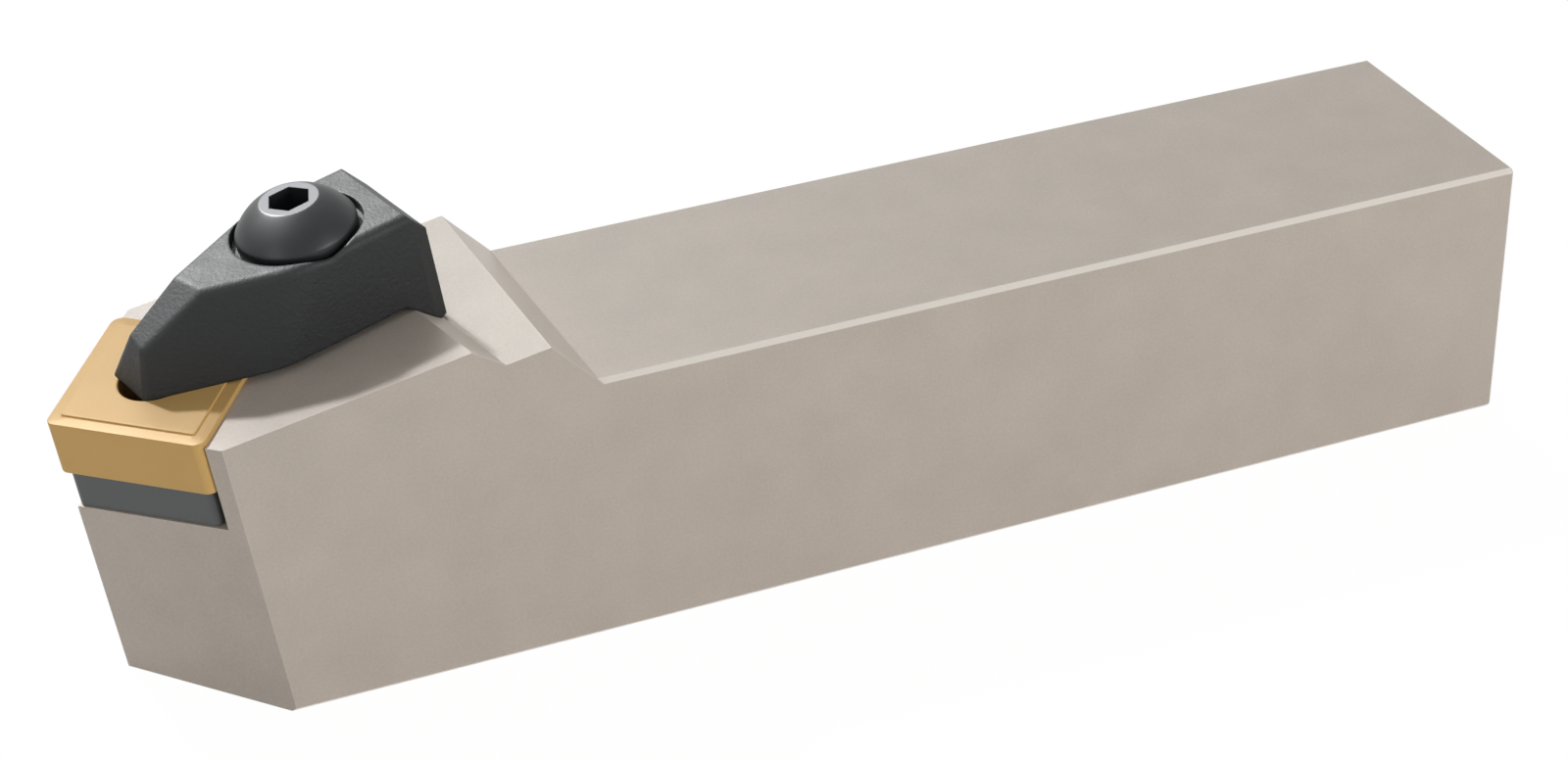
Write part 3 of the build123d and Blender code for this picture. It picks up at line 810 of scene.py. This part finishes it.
class HOLDER_OT_clamp_screw(bpy.types.Operator):
    """Build the button-head clamp screw with its hexagon socket and thread"""
    bl_idname = "tool_holder.clamp_screw"
    bl_label = "Clamp Screw"

    def execute(self, context):
        s = context.scene.screw_settings
        seat, rim, top = 7.88 * MM, 9.07 * MM, 11.57 * MM
        head, flat = s.head / 2, s.flat / 2
        dome = top - rim
        drop = (head ** 2 - flat ** 2 - dome ** 2) / (2 * dome)
        ball = math.hypot(flat, drop + dome)
        start, end = math.atan2(drop, head), math.atan2(drop + dome, flat)
        angles = even_angles(96)
        profile = [
            (0.4 * MM, seat), (head - 0.30 * MM, seat), (head - 0.06 * MM, seat + 0.10 * MM),
            (head, seat + 0.25 * MM), (head, rim - 0.10 * MM), (head - 0.015 * MM, rim),
        ]
        steps = 18
        for step in range(1, steps):
            angle = start + (end - start) * (step / steps)
            profile.append((ball * math.cos(angle), rim - drop + ball * math.sin(angle)))
        profile += [(flat + 0.04 * MM, top - 0.02 * MM), (flat - 0.03 * MM, top), (flat - 0.10 * MM, top)]
        rings = [circle_ring(radius, height, angles) for radius, height in profile]
        floor = top - 2.2 * MM
        # the flat runs up to the hexagon: millimetres wider than the socket, and below the flat
        rings += [hexagon_ring(s.socket + wider * MM, top - depth * MM, angles)
                  for wider, depth in ((0.12, 0.0), (0.05, 0.0), (0.0, 0.03), (0.0, 0.6))]
        rings += [hexagon_ring(s.socket, floor, angles)]
        rings += [circle_ring(1.4 * MM, floor - 0.05 * MM, angles),
                  circle_ring(0.1 * MM, floor - 0.7 * MM, angles)]
        socket_turn = math.radians(1.1)
        matrix = clamp_matrix(socket_turn)
        head_piece = skin_rings("clamp_screw_head", rings, matrix, False, TURNED_SHARP)
        finish = Finish("turned_black_oxide", s.steel, metallic=0.0, roughness=0.42,
                        roughness_spread=0.03, specular=0.40)
        finish.grained(grain_size=0.15 * MM, mottle_size=2.0 * MM, bump=0.0025 * MM, colour_spread=0.10)
        axis = (matrix.to_3x3() @ Vector((0, 0, 1))).normalized()
        # Painted sheen: the flat round the socket gets a lighter colour for the reflection it shows.
        finish.sheen_painted_face(axis, axis.dot(matrix @ Vector((0, 0, top - 0.3 * MM))), s.bright)
        finish.worn(s.rubbed, width=0.1 * MM, strength=0.25)
        material = finish.done()
        low, high = -15.0 * MM, 8.2 * MM
        shank = grow("clamp_screw_shank", threaded_rod_tree(), {
            "Major Radius": s.thread / 2, "Thread Depth": 0.46 * MM, "Pitch": s.pitch, "Length": high - low,
            "Plain Neck": 2.0 * MM, "Point": 0.8 * MM, "Around": 48, "Along": 232, "Material": material,
        }, matrix @ Matrix.Translation((0, 0, (low + high) / 2)))
        piece = join_pieces("clamp_screw_turned", [head_piece, shank])
        clothe(piece, material, "screw", "clamp_screw")
        return {"FINISHED"}


class HOLDER_OT_shim_screw(bpy.types.Operator):
    """Build the countersunk screw that holds the shim"""
    bl_idname = "tool_holder.shim_screw"
    bl_label = "Shim Screw"

    def execute(self, context):
        s = context.scene.shim_screw_settings
        top = -4.95 * MM
        neck, head = s.thread / 2, s.head / 2
        cone = head - neck
        angles = even_angles(72)
        mouth = s.socket / math.sqrt(3) + 0.05 * MM
        profile = [
            (0.3 * MM, top - cone - 0.3 * MM), (neck, top - cone - 0.3 * MM), (neck, top - cone),
            (head - 0.05 * MM, top - 0.05 * MM), (head - 0.05 * MM, top - 0.01 * MM),
            (head - 0.12 * MM, top), (mouth + 0.03 * MM, top), (mouth, top - 0.02 * MM),
        ]
        rings = [circle_ring(radius, height, angles) for radius, height in profile]
        rings += [hexagon_ring(s.socket, top - depth * MM, angles) for depth in (0.2, 1.2)]
        rings.append(circle_ring(0.1 * MM, top - 1.5 * MM, angles))
        finish = Finish("bright_screw_steel", s.steel, metallic=0.8, roughness=0.35)
        finish.grained(grain_size=0.10 * MM, mottle_size=2.0 * MM, bump=0.001 * MM, colour_spread=0.06)
        material = finish.worn(s.bright_edge, width=0.08 * MM, strength=0.5).done()
        head_piece = skin_rings("shim_screw_head", rings, deck_matrix(), False, TURNED_SHARP)
        high, low = top - cone + 0.02 * MM, top - 9.5 * MM
        shank = grow("shim_screw_shank", threaded_rod_tree(), {
            "Major Radius": s.thread / 2, "Thread Depth": 0.34 * MM, "Pitch": s.pitch, "Length": high - low,
            "Plain Neck": 0.8 * MM, "Point": 0.5 * MM, "Around": 36, "Along": 112, "Material": material,
        }, deck_matrix() @ Matrix.Translation((0, 0, (low + high) / 2)))
        piece = join_pieces("shim_screw_turned", [head_piece, shank])
        clothe(piece, material, "holder", "shim_screw")
        return {"FINISHED"}


class HOLDER_OT_spring(bpy.types.Operator):
    """Wind the lift spring between the deck's pocket and the clamp"""
    bl_idname = "tool_holder.spring"
    bl_label = "Lift Spring"

    def execute(self, context):
        s = context.scene.spring_settings
        finish = Finish("drawn_spring_wire", s.steel, metallic=0.8, roughness=0.36)
        finish.grained(grain_size=0.10 * MM, mottle_size=1.0 * MM, bump=0.001 * MM, colour_spread=0.08)
        material = finish.worn(s.bright_edge, width=0.05 * MM, strength=0.3).done()
        low, high = -4.98 * MM + s.wire / 2, 1.68 * MM - s.wire / 2
        matrix = clamp_matrix()
        piece = grow("lift_spring_wound", wound_spring_tree(), {
            "Coil Radius": (s.outside - s.wire) / 2, "Wire Radius": s.wire / 2, "Rise": high - low,
            "Turns": float(s.turns), "Steps A Turn": 40, "Material": material,
        }, matrix @ Matrix.Translation((0, 0, low)), 60)
        piece.data.materials.clear()
        piece.data.materials.append(material)
        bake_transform(piece)
        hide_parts("lift_spring")
        return {"FINISHED"}


# ---------------------------------------------------------------- the stage


def seen_as_white(tree):
    """1 for rays from the camera, a mirror or glass, and 0 for the rays that carry light."""
    path = place(tree, "ShaderNodeLightPath")
    seen = maths(tree, "ADD", path.outputs["Is Camera Ray"], path.outputs["Is Glossy Ray"])
    return maths(tree, "MINIMUM", maths(tree, "ADD", seen, path.outputs["Is Transmission Ray"]), 1.0)


def lamp(name, place_at, aim, size, watts, tint, diffuse):
    """A disk lamp. With diffuse off it adds only the sheen that a softbox leaves on a satin face."""
    light = bpy.data.lights.new(name, "AREA")
    light.shape = "DISK"
    light.size = size
    light.energy = watts
    light.color = tint
    thing = bpy.data.objects.new(name, light)
    thing.location = place_at
    thing.rotation_mode = "QUATERNION"
    thing.rotation_quaternion = (Vector(aim) - Vector(place_at)).to_track_quat("-Z", "Y")
    thing.visible_camera = False
    thing.visible_diffuse = diffuse
    bpy.context.scene.collection.objects.link(thing)


def towards(azimuth, elevation, distance):
    """A place in a direction: azimuth is counted from +X towards +Y."""
    a, e = math.radians(azimuth), math.radians(elevation)
    return Vector((math.cos(a) * math.cos(e), math.sin(a) * math.cos(e), math.sin(e))) * distance


class HOLDER_OT_stage(bpy.types.Operator):
    """Set the floor, the lamps and the camera"""
    bl_idname = "tool_holder.stage"
    bl_label = "Stage"

    def execute(self, context):
        s = context.scene.stage_settings
        scene = context.scene
        scene.view_settings.view_transform = "Standard"
        reach = 3.0
        white_share, white_strength = 0.93, 1.04      # the rest of the floor is matt and keeps the shadow
        mesh = bpy.data.meshes.new("floor")
        corners = [(-reach, -reach, 0), (reach, -reach, 0), (reach, reach, 0), (-reach, reach, 0)]
        mesh.from_pydata(corners, [], [(0, 1, 2, 3)])
        floor = bpy.data.objects.new("floor", mesh)
        scene.collection.objects.link(floor)
        material = bpy.data.materials.new("pale_floor")
        material.use_nodes = True
        tree = material.node_tree
        tree.nodes.clear()
        matte = place(tree, "ShaderNodeBsdfDiffuse")
        matte.inputs["Color"].default_value = (*s.floor, 1.0)
        glow = place(tree, "ShaderNodeEmission")
        glow.inputs["Color"].default_value = (1.0, 1.0, 1.0, 1.0)
        glow.inputs["Strength"].default_value = white_strength
        mix = place(tree, "ShaderNodeMixShader")
        feed(tree, mix.inputs[0], maths(tree, "MULTIPLY", seen_as_white(tree), white_share))
        tree.links.new(matte.outputs[0], mix.inputs[1])
        tree.links.new(glow.outputs[0], mix.inputs[2])
        tree.links.new(mix.outputs[0], place(tree, "ShaderNodeOutputMaterial").inputs["Surface"])
        mesh.materials.append(material)

        world = bpy.data.worlds.new("studio")
        scene.world = world
        world.use_nodes = True
        tree = world.node_tree
        back = tree.nodes["Background"]
        back.inputs["Color"].default_value = (1.0, 1.0, 1.0, 1.0)
        strength = remap(tree, seen_as_white(tree), 0.0, 1.0, s.ambient, 1.0)
        feed(tree, back.inputs["Strength"], strength)

        for name, azimuth, elevation, distance, size, tint, diffuse in LAMPS:
            where = LIT_MIDDLE + towards(azimuth, elevation, distance)
            lamp(name, where, LIT_MIDDLE, size, getattr(s, name), tint, diffuse)

        lens = bpy.data.cameras.new("camera")
        lens.sensor_width = 36.0
        lens.lens = 94.0
        lens.clip_start, lens.clip_end = 0.01, 20.0
        camera = bpy.data.objects.new("camera", lens)
        level = math.cos(CAMERA_UP)
        back_axis = Vector((math.sin(CAMERA_AROUND) * level, -math.cos(CAMERA_AROUND) * level,
                            math.sin(CAMERA_UP)))
        right = Vector((0, 0, 1)).cross(back_axis).normalized()
        above = back_axis.cross(right)
        turned_right = right * math.cos(CAMERA_ROLL) + above * math.sin(CAMERA_ROLL)
        turned_above = above * math.cos(CAMERA_ROLL) - right * math.sin(CAMERA_ROLL)
        basis = Matrix((turned_right, turned_above, back_axis)).transposed().to_4x4()
        camera.matrix_world = Matrix.Translation(CAMERA_PLACE) @ basis
        scene.collection.objects.link(camera)
        scene.camera = camera
        return {"FINISHED"}


# ---------------------------------------------------------------- add-on


class HOLDER_PT_panel(bpy.types.Panel):
    """Buttons for every piece of the tool holder"""
    bl_label = "Tool Holder"
    bl_idname = "HOLDER_PT_panel"
    bl_space_type = "VIEW_3D"
    bl_region_type = "UI"
    bl_category = "Tool Holder"

    def draw(self, context):
        for step in STEPS:
            self.layout.operator(step.bl_idname)


STEPS = (HOLDER_OT_body, HOLDER_OT_insert, HOLDER_OT_shim, HOLDER_OT_clamp, HOLDER_OT_clamp_screw,
         HOLDER_OT_shim_screw, HOLDER_OT_spring, HOLDER_OT_stage)
SETTINGS = {
    "holder_settings": HolderSettings,
    "insert_settings": InsertSettings,
    "shim_settings": ShimSettings,
    "clamp_settings": ClampSettings,
    "screw_settings": ScrewSettings,
    "shim_screw_settings": ShimScrewSettings,
    "spring_settings": SpringSettings,
    "stage_settings": StageSettings,
}


def register():
    for kind in (*SETTINGS.values(), *STEPS, HOLDER_PT_panel):
        bpy.utils.register_class(kind)
    for name, kind in SETTINGS.items():
        setattr(bpy.types.Scene, name, PointerProperty(type=kind))


def unregister():
    for name in SETTINGS:
        delattr(bpy.types.Scene, name)
    for kind in reversed((*SETTINGS.values(), *STEPS, HOLDER_PT_panel)):
        bpy.utils.unregister_class(kind)


def main():
    register()
    for step in STEPS:
        group, action = step.bl_idname.split(".")
        getattr(getattr(bpy.ops, group), action)()


if __name__ == "__main__":
    main()
